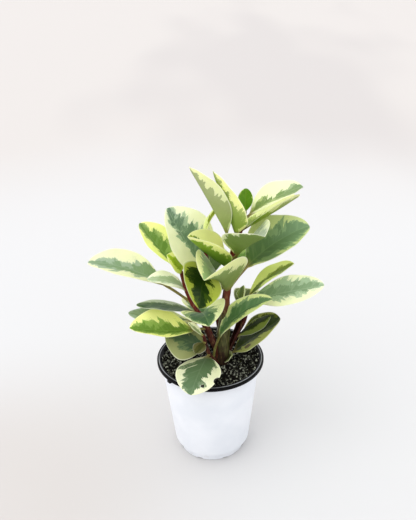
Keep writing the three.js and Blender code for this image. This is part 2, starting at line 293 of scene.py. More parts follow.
# Stems
# The same points as the solid stems, from the lower end to the tip, then radii spread evenly along.
stems = {
    "main": ([(12, -6, 80), (12.5, -6, 116), (14, -4, 145), (17, -2, 175),
              (20, 0, 201), (23, 3, 221), (29, 5, 240), (35, 6, 260)],
             (6, 6.6, 6.3, 3.2, 2.9, 2.6, 2.2, 1.9)),
    "branch": ([(12, -5, 124), (9, 2, 147), (5, 8, 171), (1, 12, 195), (-3, 16, 226)], (2.3, 1.5)),
    "left": ([(9, -7, 106), (5, -8, 127), (-2, -5, 145), (-11, -1, 161),
              (-18, 2, 173), (-23, 4, 189), (-26, 5, 203)], (2.8, 1.6)),
    "right": ([(14, -3, 98), (21, 4, 116), (28, 7, 130), (36, 10, 146), (38, 14, 168)], (2.3, 1.6)),
    "mid": ([(13, -1, 98), (19, 10, 114), (26, 12, 126), (30, 12, 142), (32, 12, 161)], (2.2, 1.5)),
    "low": ([(8.5, -9.5, 104), (-1, -17, 122), (-4, -18, 135), (-6, -19, 145)], (1.9, 1.3)),
}
stemPlan = {
    "around": 20, "along": 90,
    "nodeSwell": 0.35,  # how far a joint with a leaf stands out
    "nodeLength": 3.5,
    "capShare": 0.03,  # share of the grid's columns over which each end is rounded
    "footRound": 0.2,
    "tipRound": 0.8,
    "footTop": (0.112, 0.126),  # heights in metres between which one colour turns into the next
    "shadeTop": (0.13, 0.175),
    "brownTop": (0.165, 0.2),
    "youngRed": "#641f18",
    "shadedRed": "#48201a",  # painted shade: the young stems' red, darker low in the pot
    "oldBrown": "#6b3d28",
    "oldOlive": "#4a4b2a",
    "footBrown": "#33251a",
    "streak": "#1f1109",
    "paleStreak": "#9a8a58",
}


# The point and heading at a share of a stem's length, on the curve through its points.
def stemSpot(stem, at):
    points = [Vector(p) for p in stems[stem][0]]
    points = [2 * points[0] - points[1]] + points + [2 * points[-1] - points[-2]]
    spans = len(points) - 3
    span = min(int(at * spans), spans - 1)
    t = at * spans - span
    a, b, c, d = points[span:span + 4]
    first, second, third = c - a, 2 * a - 5 * b + 4 * c - d, 3 * b - a - 3 * c + d
    spot = (2 * b + first * t + second * t * t + third * t ** 3) / 2
    heading = (first + 2 * second * t + 3 * third * t * t) / 2
    return spot, heading.normalized()


# Leaves
# Stem, share of its length, direction round the plant, rise, droop, petiole, length, width, roll and
# fold: the same table as the solid leaves.
leaves = {
    "crown_left": ("main", 0.77, -160, 65, 2, 16, 79, 45, 11, 22),
    "crown_mid": ("main", 0.84, -138, 66, -5, 4, 74, 48, -17, 14),
    "crown_bud": ("main", 1, 80, 76, 12, 3, 22, 15, 3, 15),
    "crown_right_back": ("main", 0.97, 17, 35, 25, 6, 58, 38, 4, 19),
    "crown_right": ("main", 0.89, 27, 15, -7, 3, 66, 52, -25, 13),
    "crown_front": ("main", 0.67, -58, 48, 13, 15, 54, 57, 1, 30),
    "right_large": ("main", 0.47, 12, 59, 44, 30, 73, 47, 23, 20),
    "front_boat": ("main", 0.47, -113, 58, 41, 2, 69, 64, 0, 43),
    "front_yellow": ("main", 0.61, -163, 40, -11, 2, 56, 45, -6, 41),
    "left_large": ("branch", 0.76, 164, 51, -15, 3, 74, 61, -27, 24),
    "slim_back": ("branch", 0.99, 45, 97, 83, 5, 39, 8, -1, 32),
    "left_upper": ("left", 1, 147, 33, -17, 7, 55, 40, -1, 22),
    "left_small": ("left", 0.83, -152, 82, 33, 14, 28, 18, -62, 29),
    "left_far": ("left", 0.61, 164, 39, 43, 33, 82, 39, -15, 21),
    "left_pale": ("left", 0.76, -171, 51, 50, 2, 41, 21, -14, 14),
    "front_hanging": ("branch", 0.85, -98, 10, 43, 8, 57, 38, -39, 14),
    "left_grey": ("left", 0.49, -172, 25, 20, 3, 59, 23, 4, 0),
    "left_grey_low": ("left", 0.37, 174, 12, 8, 13, 64, 24, -10, -6),
    "left_low": ("left", 0.33, -164, 2, -20, 13, 66, 44, -18, 31),
    "front_low": ("left", 0.46, -77, 52, 71, 11, 31, 50, 10, 26),
    "right_low": ("low", 0.18, 1, 86, 73, 24, 70, 27, 16, 26),
    "right_far": ("right", 0.95, -13, 21, 4, 2, 77, 34, 31, 8),
    "right_small": ("right", 0.98, 14, 53, 39, 3, 56, 23, 3, 16),
    "right_shade": ("right", 0.12, -4, 40, -1, 7, 62, 55, 1, 8),
    "right_shade_small": ("right", 0.42, -7, 38, 2, 3, 41, 16, 21, -14),
    "left_bottom": ("low", 0.5, 176, 26, 2, 2, 42, 51, -20, 0),
    "left_shoot": ("low", 0.75, -121, 3, 20, 2, 17, 13, -16, 3),
    "over_rim": ("low", 0.34, -109, 8, 35, 4, 52, 44, 3, 0),
    "right_shoot": ("main", 0.1, -32, 35, -17, 3, 13, 16, 23, 12),
    "left_sliver": ("low", 0.96, 152, 39, 7, 2, 19, 8, -16, 27),
    "mid_sliver": ("mid", 1, 68, 68, 7, 2, 17, 8, -3, 30),
    "back_upper_right": ("main", 0.55, 60, 20, 25, 8, 50, 32, 0, 18),
    "back_upper_left": ("branch", 0.67, 100, 22, 25, 6, 50, 32, 0, 18),
    "back_right": ("mid", 0.79, 56, 11, 20, 6, 48, 32, 0, 18),
    "back_left": ("left", 0.39, 106, 11, 21, 7, 45, 30, -1, 18),
    "back_mid": ("branch", 0.48, 85, 12, 20, 8, 46, 32, 0, 15),
    "back_low": ("main", 0.26, 82, 6, 20, 8, 46, 32, 1, 15),
}
bladePlan = {
    "along": 84, "around": 60,
    "petioleColumns": 0.14,  # share of the grid's columns that the petiole takes
    "tipCrowding": 1.5,
    "petioleHalfWidth": 1.5, "petioleHalfThickness": 1.2,
    "bladeHalfThickness": 0.65, "edgeHalfThickness": 0.35,
    "cup": 10,
    "edgeWave": 0.6,
    "edgeWaveCount": 2.4,
    "unevenness": 0.45,  # soft hills and hollows of the blade
    "hillScale": (0.09, 1.3),  # along the blade and across it
    "opening": 0.15,  # share of the blade's length over which it opens from its petiole
    "crease": 0.6,  # the fold's crease is rounded over about this much
}
leafParts = ("heart", "middle", "margin", "under", "petiole")
leafValues = ("greenShare", "petioleShare", "underside", "edgeShare", "leafSeed", "alongBlade",
              "acrossBlade", "deepShare")
plainColours = {"margin": ("#eef4b0", "#f6f8d8"), "under": ("#a0b464", "#a8b878")}


# How a leaf looks. left and right: how much of that half of the blade is green, in percent from the base
# to the tip, with left seen from the stem outward. colours: at the base and at the tip, those of the heart,
# the middle, the margin and the underside, of which the last two may be left out. deep: how much further
# in the heart starts, in percent. spreadLeft and spreadRight: how wide that half is, in percent of the
# solid leaf's, from the base to the tip.
def look(left, right, colours, deep=25, spreadLeft=(100, 100), spreadRight=(100, 100), petiole="#a8a05e"):
    hexes = colours.split()
    looks = {**plainColours, "petiole": (petiole, petiole), "deep": deep / 100}
    looks.update(zip(leafParts, zip(hexes[::2], hexes[1::2])))
    shares = {"left": left, "right": right, "spreadLeft": spreadLeft, "spreadRight": spreadRight}
    looks.update({part: [percent / 100 for percent in percents] for part, percents in shares.items()})
    return looks


leafLooks = {
    "crown_left": look((100, 100, 100, 55, 45, 30), (90, 80, 60, 50, 40, 30),
        "#97af48 #9fae78 #b2c472 #b4bf96 #ecf8b4 #fcfcd0 #b3c470 #bfc79a"),
    "crown_mid": look((80, 85, 78, 68, 45, 40), (110, 110, 110, 100, 90, 90),
        "#a8c656 #b0c05c #c4d86e #c4d284 #fafbb6 #fafbba #a6c04e #a8b67c",
        spreadLeft=(110, 120, 100, 100), spreadRight=(110, 150, 130, 110, 100)),
    "crown_bud": look((50, 60, 80, 90, 90, 100), (120, 120, 110, 110, 110, 110),
        "#5f8d20 #5f8d20 #7ba033 #7b9a35 #d2e183 #cada79", deep=0),
    "crown_right_back": look((20, 60, 30, 10, 25, 50), (0, 2, 15, 85, 110, 110),
        "#7d9442 #86a070 #b4c268 #a6ba98 #eff3c4 #f1f3d2", deep=10),
    "crown_right": look((110, 100, 35, 0, -10, -10), (110, 110, 70, 70, 60, 20),
        "#86a22a #92a238 #adc43d #abb65a #ebf3a8 #ebecb0 #9ab636 #a4b254",
        spreadRight=(180, 140, 110, 100, 100)),
    "crown_front": look((100, 95, 90, 75, 80, 60), (100, 90, 88, 90, 95, 100),
        "#b3c4a0 #b4c2a6 #ccd9b6 #d2dcc0 #e8eebc #ecf0d6 #738f2c #6d882a"),
    "right_large": look((110, 100, 60, 50, 72, 45), (80, 82, 84, 80, 78, 74),
        "#4a6a20 #84a47c #74923f #9cba90 #c6d084 #d8e4a8", deep=22, spreadLeft=(100, 135, 125, 105, 100)),
    "front_boat": look((110, 80, 65, 50, 25, 30), (100, 110, 95, 75, 50, 40),
        "#5f7c36 #9fbf80 #8ba84e #b8d29c #e6ecb0 #fafbc8 #8a9a50 #9cb070", deep=45,
        spreadLeft=(110, 115, 100, 100), spreadRight=(110, 105, 100, 100)),
    "front_yellow": look((100, 85, 70, 62, 60, 10), (0, 0, -5, 5, 25, 20),
        "#6f9a34 #6a8f2c #98bd3e #a6b83c #fafc98 #fcfdc4 #8bae42 #98bd3e", deep=0,
        spreadLeft=(150, 140, 115, 100, 100), spreadRight=(130, 120, 100, 100)),
    "left_large": look((-10, -10, -10, 2, 30, 45), (110, 95, 75, 58, 42, 50),
        "#749468 #739078 #a8c494 #b6ccb4 #fcfddc #fdfef2", deep=18, spreadLeft=(150, 130, 110, 100, 100)),
    "slim_back": look((0, 0, 5, 50, 70, 60), (0, 0, 10, 90, 100, 90),
        "#7f8e14 #7f8e14 #a0b04a #a0b04a #ecf4a8 #ecf4a8", deep=10),
    "left_upper": look((30, 38, 30, 25, 40, 90), (60, 50, 60, 50, 35, 20),
        "#6d9238 #73964a #94b654 #98b26f #f5fb9c #f6f8ac", deep=8),
    "left_small": look((10, 20, 40, 30, 10, 10), (50, 80, 90, 70, 20, 20),
        "#a6c03c #a6c03c #becd4c #bdd942 #f2fba0 #fafbb0 #a6c03c #b4cc44", deep=30,
        spreadLeft=(130, 120), spreadRight=(130, 120), petiole="#7c3a2c"),
    "left_far": look((20, 30, 55, 55, 75, 50), (110, 110, 60, 30, 25, 30),
        "#7e9a64 #86a07e #9fb492 #a4b8a0 #ebedc6 #e8e9ca"),
    "left_pale": look((0, 0, 20, 40, 75, 100), (10, 60, 70, 50, 25, 10),
        "#a9c192 #b6c8a2 #d0deba #d0dcc4 #fbfcf2 #f6f9e2", deep=10),
    "front_hanging": look((30, 30, 35, 50, 50, 90), (30, 35, 60, 70, 50, 20),
        "#2a4410 #1c330b #3c5214 #3a520f #cdd668 #a8b838", spreadRight=(90, 125, 150, 150, 110)),
    "left_grey": look((130, 130, 130, 130, 130, 110), (60, 60, 60, 60, 70, 40),
        "#34502a #3f5a34 #62784a #6a8050 #a9b698 #b8c4a4", deep=40),
    "left_grey_low": look((0, 10, 50, 90, 100, 100), (0, 10, 40, 80, 100, 100),
        "#7e9368 #7e9368 #90a57e #96ab8d #f4f8b8 #b9c6a2", deep=40),
    "left_low": look((75, 50, 65, 50, 65, 80), (60, 50, 40, 38, 42, 25),
        "#6a8c30 #78a040 #94b24a #9cbc60 #f4f890 #fcfdb4", deep=15),
    "front_low": look((80, 72, 60, 66, 66, 30), (70, 75, 82, 85, 75, 30),
        "#426636 #4f7448 #7a9a52 #84a06a #e4eca0 #eef4c0", deep=22),
    "right_low": look((80, 75, 72, 72, 66, 35), (80, 65, 45, 42, 35, 35),
        "#4a6e34 #648a5a #76985e #84a272 #d2de90 #e2eca4", deep=20,
        spreadRight=(120, 150, 150, 130, 100), petiole="#8c8c4c"),
    "right_far": look((90, 100, 95, 75, 68, 50), (10, 20, 38, 40, 28, 20),
        "#7d9a6c #94b08c #aac496 #b8d0b2 #fafcd4 #f6f9e6", deep=28),
    "right_small": look((10, 10, 0, 5, 15, 15), (100, 90, 15, 55, 85, 90),
        "#4f6a1c #7c8f30 #86a050 #92a340 #e0eb8a #e6ef98", deep=15),
    "right_shade": look((100, 90, 80, 80, 80, 90), (70, 45, 30, 20, 45, 70),
        "#33450f #2c400f #5f6820 #606c1a #a4ac4c #b4ba68", deep=15),
    "right_shade_small": look((110, 90, 80, 80, 90, 110), (20, 10, 5, 5, 10, 30),
        "#26330f #26330f #3c4716 #405014 #7f8e46 #80913f", deep=20),
    "left_bottom": look((90, 60, 50, 40, 20, 0), (60, 50, 35, 35, 20, 0),
        "#4a6244 #627a5c #65794e #80946a #8c9258 #b2b884", deep=10),
    "left_shoot": look((70, 60, 60, 50, 40, 30), (70, 60, 60, 50, 40, 30),
        "#44471f #40471f #555125 #525529 #686539 #66683f"),
    "over_rim": look((110, 85, 60, 55, 40, 20), (45, 55, 68, 70, 75, 75),
        "#4a5e38 #64805a #5f7344 #7e9474 #cdd2a0 #eceed4", deep=12),
    "right_shoot": look((80, 70, 60, 50, 40, 30), (80, 70, 60, 50, 40, 30),
        "#474f24 #474f24 #5f6c38 #5f6c38 #a4ad72 #a4ad72"),
    "left_sliver": look((60, 50, 40, 30, 20, 10), (60, 50, 40, 30, 20, 10),
        "#8a9a58 #9aa86c #a8b888 #bccca0 #dfe4b2 #fafad4"),
    "mid_sliver": look((110, 110, 100, 100, 90), (50, 40, 30, 20),
        "#5b6b34 #647a48 #7a8c44 #8a9c54 #dfe8a8 #eef4c8", spreadLeft=(100, 160, 170, 130, 100)),
    "back_upper_left": look((100, 100, 90, 80, 60, 40), (110, 110, 100, 90, 70, 40),
        "#41581f #4d682c #5d7832 #6f8a48 #a8b868 #c0cc88", spreadRight=(140, 160, 150, 120)),
    "back_right": look((110, 110, 100, 90, 70, 40), (90, 85, 70, 60, 50, 30),
        "#4a5528 #5a6a34 #66743c #7c8a4c #a3a860 #dce4a8", spreadLeft=(140, 170, 160, 120, 100)),
    "back_mid": look((90, 85, 75, 62, 60, 40), (100, 95, 90, 80, 60, 30),
        "#4f5c28 #5f7038 #6d7a3c #86944c #b0b46c #ccd08c", spreadRight=(150, 170, 160, 130)),
}
# The other leaves at the back, which the photograph doesn't show, follow these two in turn.
backLooks = [
    look((90, 85, 75, 62, 60, 40), (85, 80, 60, 50, 45, 30),
         "#527a3e #6f9472 #86a660 #98b48c"),
    look((75, 70, 55, 50, 45, 30), (95, 90, 80, 72, 70, 50),
         "#5f8a2c #6f9444 #94b44c #9cb668 #e8ef92 #f2f5b8"),
]
tornLeaf = {
    "name": "over_rim",
    "holes": [((-7.7, -62, 117.7), 1.8), ((6.3, -60.5, 122), 3.6)],
    "scar": "#1d150c",
    "bruise": ((37.5, -12, 127), 5.5),  # a brown spot on the shaded leaf at the lower right
    "bruiseBrown": "#41240f",
}


def halfWidth(share, width):
    swell = max(math.sin(math.pi * share ** 1.15), 0) ** (0.88 - 0.33 * share)
    least = bladePlan["petioleHalfWidth"] if share < 0.5 else 0.12
    return max(width / 2 * swell, least)


# The frame of a leaf's cross-section at a distance from its root: middle, side and up.
def bladeFrame(leaf, distance):
    _, _, _, rise, droop, petiole, length, _, roll, _ = leaf
    total = petiole + length
    start = math.radians(rise)
    angle = math.radians(rise - droop * distance / total)
    if abs(droop) > 0.01:
        bend = total / math.radians(droop)
        middle = Vector((bend * (math.sin(start) - math.sin(angle)), 0,
                         bend * (math.cos(angle) - math.cos(start))))
    else:
        middle = Vector((distance * math.cos(start), 0, distance * math.sin(start)))
    tilt = math.radians(roll * clamped(distance / petiole))
    level, upright = Vector((0, 1, 0)), Vector((-math.sin(angle), 0, math.cos(angle)))
    side = level * math.cos(tilt) + upright * math.sin(tilt)
    up = upright * math.cos(tilt) - level * math.sin(tilt)
    return middle, side, up


# A value between those of a list, whose entries are spread evenly over shares from 0 to 1.
def valueAt(entries, share):
    place = clamped(share) * (len(entries) - 1)
    first = min(int(place), len(entries) - 2)
    return mixed(entries[first], entries[first + 1], place - first)


def makeLeaf(name, leaf, looks, seed, material):
    stem, at, azimuth, _, _, petiole, length, width, _, fold = leaf
    root, _ = stemSpot(stem, at)
    turn = Matrix.Rotation(math.radians(azimuth), 3, "Z")
    bm = bmesh.new()
    layers = {value: bm.verts.layers.float.new(value) for value in leafValues}
    colourLayers = {part: bm.verts.layers.float_color.new(part + "Colour") for part in leafParts}
    palette = {part: [linearColour(text) for text in looks[part]] for part in leafParts}
    frames = {}

    def distanceAt(along):
        columns = bladePlan["petioleColumns"]
        if along < columns:
            return petiole * along / columns
        return petiole + length * (1 - (1 - (along - columns) / (1 - columns)) ** bladePlan["tipCrowding"])

    def crossing(turnShare):
        angle = 2 * math.pi * turnShare
        across, face = math.cos(angle), math.sin(angle)
        return across, math.copysign(abs(face) ** 0.4, face)

    def place(along, turnShare):
        distance = distanceAt(along)
        if distance not in frames:
            frames[distance] = bladeFrame(leaf, distance)
        middle, side, up = frames[distance]
        across, face = crossing(turnShare)
        share = clamped((distance - petiole) / length)
        opened = clamped((distance - petiole) / (bladePlan["opening"] * length) + 0.2)
        spread = mixed(1, valueAt(looks["spreadLeft" if across > 0 else "spreadRight"], share), opened)
        reach = halfWidth(share, width) * abs(across) * spread
        lift = math.radians((fold + bladePlan["cup"] * abs(across) * 0.5) * opened)
        middleHalf = mixed(bladePlan["petioleHalfThickness"], bladePlan["bladeHalfThickness"], opened)
        half = mixed(middleHalf, bladePlan["edgeHalfThickness"] * (2 - opened), across * across)
        half *= clamped(0.25 + 20 * (1 - share))
        wave = math.sin(2 * math.pi * bladePlan["edgeWaveCount"] * share + math.radians(azimuth))
        raised = bladePlan["edgeWave"] * across * across * opened * share * wave
        alongScale, acrossScale = bladePlan["hillScale"]
        hill = noise.noise(Vector((distance * alongScale, across * acrossScale, seed * 7.7)))
        raised += bladePlan["unevenness"] * hill * opened * (0.4 + abs(across))
        crease = math.hypot(reach, bladePlan["crease"]) - bladePlan["crease"]
        spot = middle + side * math.copysign(reach * math.cos(lift), across)
        spot += up * (crease * math.sin(lift) + face * half + raised)
        return (turn @ spot + root) * mm

    def mark(vertex, along, turnShare):
        distance = distanceAt(along)
        across, face = crossing(turnShare)
        share = clamped((distance - petiole) / length)
        shares = looks["left"] if across > 0 else looks["right"]
        other = looks["right"] if across > 0 else looks["left"]
        nearRib = clamped(1 - abs(across) * 6) / 2
        green = mixed(valueAt(shares, share), valueAt(other, share), nearRib)
        values = (green - abs(across), clamped(1.3 - (distance - petiole) / (0.1 * length)),
                  clamped(0.5 - 3 * face), abs(across), seed, (distance - petiole) / 10,
                  math.copysign(halfWidth(share, width) * abs(across), across) / 10, looks["deep"])
        for value, amount in zip(leafValues, values):
            vertex[layers[value]] = amount
        for part, (atBase, atTip) in palette.items():
            vertex[colourLayers[part]] = [mixed(a, b, share) for a, b in zip(atBase, atTip)]

    rolledTube(bm, bladePlan["along"], bladePlan["around"], place, mark)
    smoothed(bm)
    return addPiece("blade_" + name, bm, material, "leaf", "leaf_" + name)


# Waxy living leaf: a thin clear cuticle over tissue that lets some light through, green in the middle
# where the cells hold chlorophyll, and cream at the edge where they don't. Lengths in the leaf's own
# attributes are in centimetres.
leafFinish = {
    "sectorWidth": 0.6,  # blocks between side veins, in which the green ends sooner or later
    "sectorReach": 0.2,
    "toothWidth": 0.8,  # pointed teeth of the green area, which run along the side veins
    "toothReach": 0.25,
    "fringeWidth": 0.28, "fringeReach": 0.12,
    "toothLength": 2.4, "veinLean": 0.85,
    "paintedSheen": 0.4, "freckle": 0.05, "roughness": 0.36,
    "throughLight": 0.30, "glow": "#fbffb0", "paintedEdgeHighlight": "#fbfbee",
    "petioleStreak": (0.5, 0.4, 0.36, 1),
}


def leafMaterial():
    material = newMaterial("waxyPeperomiaLeaf")

    def own(name, output="Fac"):
        return addNode("Attribute", {"attribute_name": name}).outputs[output]

    def spread(x, y, z, detail, roughness=0.5):
        return minus(noiseOf(joined(x, y, z), 1, detail, roughness), 0.5)

    # A pattern whose two directions are scaled, and which is another one for each seed and shift.
    def pattern(x, xScale, y, yScale, chance, shift, detail):
        z = plus(chance, shift) if shift else chance
        return spread(times(x, xScale), times(y, yScale), z, detail)

    along, across, seed = own("alongBlade"), own("acrossBlade"), own("leafSeed")
    green, under, edge = own("greenShare"), own("underside"), own("edgeShare")
    heart, middle, margin, below, stalk = (own(part + "Colour", "Color") for part in leafParts)
    outward = calc("ABSOLUTE", across)
    sideSeed = plus(seed, times(calc("SIGN", across), 3))
    vein = minus(along, times(outward, leafFinish["veinLean"]))
    drift = pattern(along, 0.9, across, 0.9, seed, 40, 1)

    # Pointed lobes along the side veins: the noise is folded, so that its zero line makes the points.
    def lobes(width, reach, shift):
        length = calc("DIVIDE", outward, leafFinish["toothLength"])
        wave = spread(calc("DIVIDE", vein, width), length, plus(sideSeed, shift), 1.5)
        point = calc("SUBTRACT", 1, times(calc("ABSOLUTE", wave), 5), clamp=True)
        return times(minus(point, 0.5), reach)

    # Blocks between the side veins, each with its own reach.
    def sectors(width, reach, shift):
        bent = plus(calc("DIVIDE", vein, width), times(drift, 1.5))
        block = joined(calc("FLOOR", bent), plus(sideSeed, shift))
        chance = addNode("TexWhiteNoise", {"noise_dimensions": "2D"}, {"Vector": block})
        return times(minus(chance.outputs[0], 0.5), reach * 2)

    def ragged(shift, size):
        teeth = plus(lobes(leafFinish["toothWidth"] * size, leafFinish["toothReach"], shift),
                     lobes(leafFinish["fringeWidth"] * size, leafFinish["fringeReach"], shift + 7))
        blocks = sectors(leafFinish["sectorWidth"] * size, leafFinish["sectorReach"], shift)
        return plus(plus(teeth, blocks), times(drift, 0.3))

    greenMask = ramped(plus(green, ragged(0, 1)), -0.015, 0.02)
    patches = pattern(along, 1.6, across, 1.6, seed, 120, 2)
    deep = plus(minus(green, own("deepShare")), ragged(80, 1.3))
    deep = plus(deep, times(patches, 0.7))
    heartMask = times(ramped(deep, -0.03, 0.05), greenMask)

    colour = blended(greenMask, margin, middle)
    colour = blended(heartMask, colour, heart)
    # A painted silvery sheen in streaks along the side veins, standing in for the sky's reflection on the
    # wax.
    paintedSheen = pattern(vein, 2.4, outward, 0.7, sideSeed, 200, 2)
    paintedSheen = times(ramped(paintedSheen, 0, 0.22), leafFinish["paintedSheen"])
    colour = blended(times(paintedSheen, greenMask), colour, middle)
    # Fine freckles of the cells, and a faint paler net along the side veins and the midrib.
    grain = spread(calc("DIVIDE", along, leafFinish["freckle"]),
                   calc("DIVIDE", across, leafFinish["freckle"]), seed, 3, 0.7)
    tone = plus(plus(1, times(grain, 0.16)), times(drift, 0.14))
    colour = blended(1, colour, joined(tone, tone, tone), "MULTIPLY")
    veinBend = pattern(along, 1.2, across, 1.2, seed, 0, 1)
    veinLine = plus(times(vein, 1.35), times(veinBend, 0.5))
    veinMask = ramped(calc("PINGPONG", veinLine, 0.5), 0, 0.07, 1, 0)
    ribMask = ramped(outward, 0.02, 0.09, 1, 0)
    netMask = calc("MAXIMUM", times(veinMask, 0.24), times(ribMask, 0.4))
    colour = blended(times(netMask, greenMask), colour, middle)
    # The underside is paler and yellower, and its green shows through.
    underGreen = blended(greenMask, margin, below)
    colour = blended(times(under, 0.85), colour, underGreen)
    # A painted highlight: the blade's very edge is turned paler, a bright line along the margin.
    rim = ramped(edge, 0.93, 0.98)
    pale = blended(0.55, margin, leafFinish["paintedEdgeHighlight"])
    colour = blended(times(rim, 0.8), colour, pale)
    streaks = pattern(along, 2, across, 30, seed, 0, 2)
    shade = blended(1, stalk, leafFinish["petioleStreak"], "MULTIPLY")
    streaked = blended(ramped(streaks, -0.2, 0.2), stalk, shade)
    colour = blended(own("petioleShare"), colour, streaked)
    # Dry brown scars round the torn spots, and a brown spot on another leaf.
    place = objectPlace()
    for centre, radius in tornLeaf["holes"]:
        away = distanceTo(place, Vector(centre) * mm)
        scar = ramped(away, radius * 1.02 * mm, radius * 1.12 * mm, 1, 0)
        colour = blended(scar, colour, tornLeaf["scar"])
    centre, radius = tornLeaf["bruise"]
    away = plus(distanceTo(place, Vector(centre) * mm), times(patches, radius * 1.5 * mm))
    bruise = ramped(away, radius * 0.6 * mm, radius * mm, 0.85, 0)
    colour = blended(bruise, colour, tornLeaf["bruiseBrown"])

    relief = minus(times(grain, 0.25), times(veinMask, 0.35))
    relief = minus(relief, times(ribMask, 1.2))
    rough = plus(leafFinish["roughness"], times(under, 0.14))
    skin = principled({
        "Base Color": colour, "Roughness": plus(rough, times(drift, 0.12)), "IOR": 1.45,
        "Specular IOR Level": 0.13, "Coat Weight": 0.05, "Coat Roughness": 0.25,
        "Normal": bumped(0.35, 0.0004, relief)})
    glow = blended(1, colour, leafFinish["glow"], "MULTIPLY")
    through = addNode("BsdfTranslucent", None, {"Color": glow}).outputs[0]
    whole = addNode("MixShader", None, {0: leafFinish["throughLight"], 1: skin, 2: through})
    return finished(material, whole.outputs[0])


leafSkin = leafMaterial()
blades = {}
for number, (name, leaf) in enumerate(leaves.items()):
    looks = leafLooks.get(name, backLooks[number % 2])
    blades[name] = makeLeaf(name, leaf, looks, 11.3 * number + 3, leafSkin)
print(len(blades), "leaves are made")


# Takes cutters out of a piece for good.
def carve(piece, bm):
    mesh = bpy.data.meshes.new("cutter")
    bm.to_mesh(mesh)
    bm.free()
    cutter = bpy.data.objects.new("cutter", mesh)
    scene.collection.objects.link(cutter)
    knife = piece.modifiers.new("cut", "BOOLEAN")
    knife.operation = "DIFFERENCE"
    knife.solver = "EXACT"
    knife.object = cutter
    seen = bpy.context.evaluated_depsgraph_get()
    carved = bpy.data.meshes.new_from_object(piece.evaluated_get(seen))
    piece.modifiers.clear()
    old, piece.data = piece.data, carved
    carved.name = piece.name
    bpy.data.meshes.remove(old)
    bpy.data.objects.remove(cutter)
    bpy.data.meshes.remove(mesh)


# The torn spots of the leaf over the rim, each an uneven small ball taken away.
holes = bmesh.new()
for middle, radius in tornLeaf["holes"]:
    ball = bmesh.ops.create_icosphere(holes, subdivisions=3, radius=radius * mm)["verts"]
    for vertex in ball:
        vertex.co *= 1 + 0.22 * noise.noise(vertex.co * 700)
    bmesh.ops.translate(holes, verts=ball, vec=Vector(middle) * mm)
carve(blades[tornLeaf["name"]], holes)
print("the torn leaf is cut")


# Smooth young bark: red where the stem is thin and young, olive where it is thick and old and dark brown
# at the foot, with fine streaks along it. Low on the stems the red is darkened as painted shade.
def stemMaterial():
    material = newMaterial("smoothPeperomiaStem")
    place = objectPlace()
    height = partsOf(place)[2]
    drawnOut = addNode("Mapping", None, {"Vector": place, "Scale": (900, 900, 110)})
    streak = noiseOf(drawnOut.outputs[0], 1, 3)
    blotch = noiseOf(place, 120, 2)
    lift = plus(height, times(minus(blotch, 0.5), 0.05))
    girth = addNode("Attribute", {"attribute_name": "girth"}).outputs["Fac"]
    foot = ramped(lift, *stemPlan["footTop"])
    old = blended(foot, stemPlan["footBrown"], stemPlan["oldOlive"])
    # Below shadeTop the red turns into shadedRed, a painted shade low on the stems.
    red = blended(ramped(lift, *stemPlan["shadeTop"]), stemPlan["shadedRed"], stemPlan["youngRed"])
    young = blended(ramped(lift, *stemPlan["brownTop"]), stemPlan["oldBrown"], red)
    young = blended(ramped(girth, 2.5, 2.9), red, young)
    colour = blended(ramped(girth, 3.4, 5.4), young, old)
    pale = times(ramped(streak, 0.42, 0.3), 0.35)
    colour = blended(pale, colour, stemPlan["paleStreak"])
    colour = blended(ramped(streak, 0.5, 0.66, 0, 0.75), colour, stemPlan["streak"])
    relief = plus(streak, times(blotch, 0.5))
    return finished(material, principled({
        "Base Color": colour, "Roughness": ramped(streak, 0.2, 0.8, 0.34, 0.5), "IOR": 1.45,
        "Specular IOR Level": 0.2, "Normal": bumped(0.4, 0.0003, relief)}))


# One stem, which swells wherever a leaf leaves it.
def growStem(bm, stem):
    points, radii = stems[stem]
    girthLayer = bm.verts.layers.float.get("girth") or bm.verts.layers.float.new("girth")
    length = sum((Vector(b) - Vector(a)).length for a, b in zip(points, points[1:]))
    joints = sorted({leaf[1] for leaf in leaves.values() if leaf[0] == stem})
    cap = stemPlan["capShare"]

    def shareAt(along):
        return clamped((along - cap) / (1 - 2 * cap))

    def place(along, turn):
        shift = shareAt(along)
        spot, heading = stemSpot(stem, shift)
        side = Vector((1, 0, 0)).cross(heading).normalized()
        front = side.cross(heading)
        radius = valueAt(radii, shift)
        for joint in joints:
            off = (shift - joint) * length / stemPlan["nodeLength"]
            radius += stemPlan["nodeSwell"] * math.exp(-off * off)
        radius *= 1 + 0.05 * noise.noise(Vector((shift * length * 0.12, turn * 3, len(joints))))
        before, over = max(1 - along / cap, 0), max((along - 1 + cap) / cap, 0)
        spot = spot - heading * stemPlan["footRound"] * before + heading * stemPlan["tipRound"] * over
        radius *= math.sqrt(max(1 - max(before, over) ** 2, 0.0004))
        angle = 2 * math.pi * turn
        return (spot + (front * math.cos(angle) + side * math.sin(angle)) * radius) * mm

    def mark(vertex, along, turn):
        vertex[girthLayer] = valueAt(radii, shareAt(along))

    rolledTube(bm, stemPlan["along"], stemPlan["around"], place, mark)


stemSkin = stemMaterial()
bm = bmesh.new()
for stem in stems:
    growStem(bm, stem)
smoothed(bm)
addPiece("bark", bm, stemSkin, "stem", "stems")
print("stems are grown")

